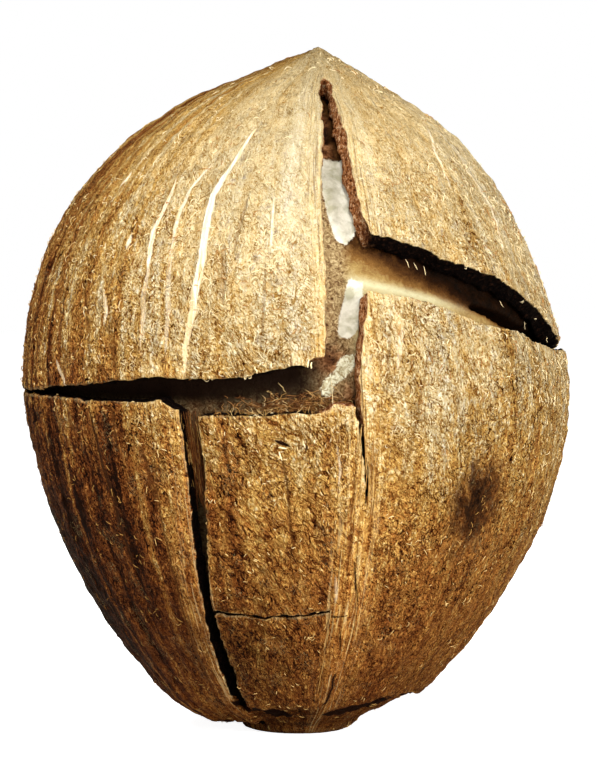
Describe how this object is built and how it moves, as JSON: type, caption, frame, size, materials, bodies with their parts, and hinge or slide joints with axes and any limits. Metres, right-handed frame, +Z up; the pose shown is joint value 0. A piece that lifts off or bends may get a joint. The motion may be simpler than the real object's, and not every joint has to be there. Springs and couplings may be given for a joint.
{
  "type": "cracked coconut",
  "caption": "Whole dehusked coconut, dried and cracked, standing on its eye end: fibrous brown shell pieces round a hollow white kernel.",
  "frame": {"origin": "centre of the small flat on the eye end that the nut stands on", "axes": "+Z up along the nut to its pointed tip, -Y towards the open cracks, +X to the right of them"},
  "size_m": [0.1125, 0.1121, 0.1403],
  "materials": {
    "shell": "dry, scraped and fibrous, matt",
    "kernel": "soft satin coconut meat with torn brown skin"
  },
  "bodies": {
    "root": {"shell_upper": "shell", "shell_lower": "shell", "shell_chip_upper": "shell", "shell_chip_lower": "shell", "kernel": "kernel"}
  },
  "joints": []
}
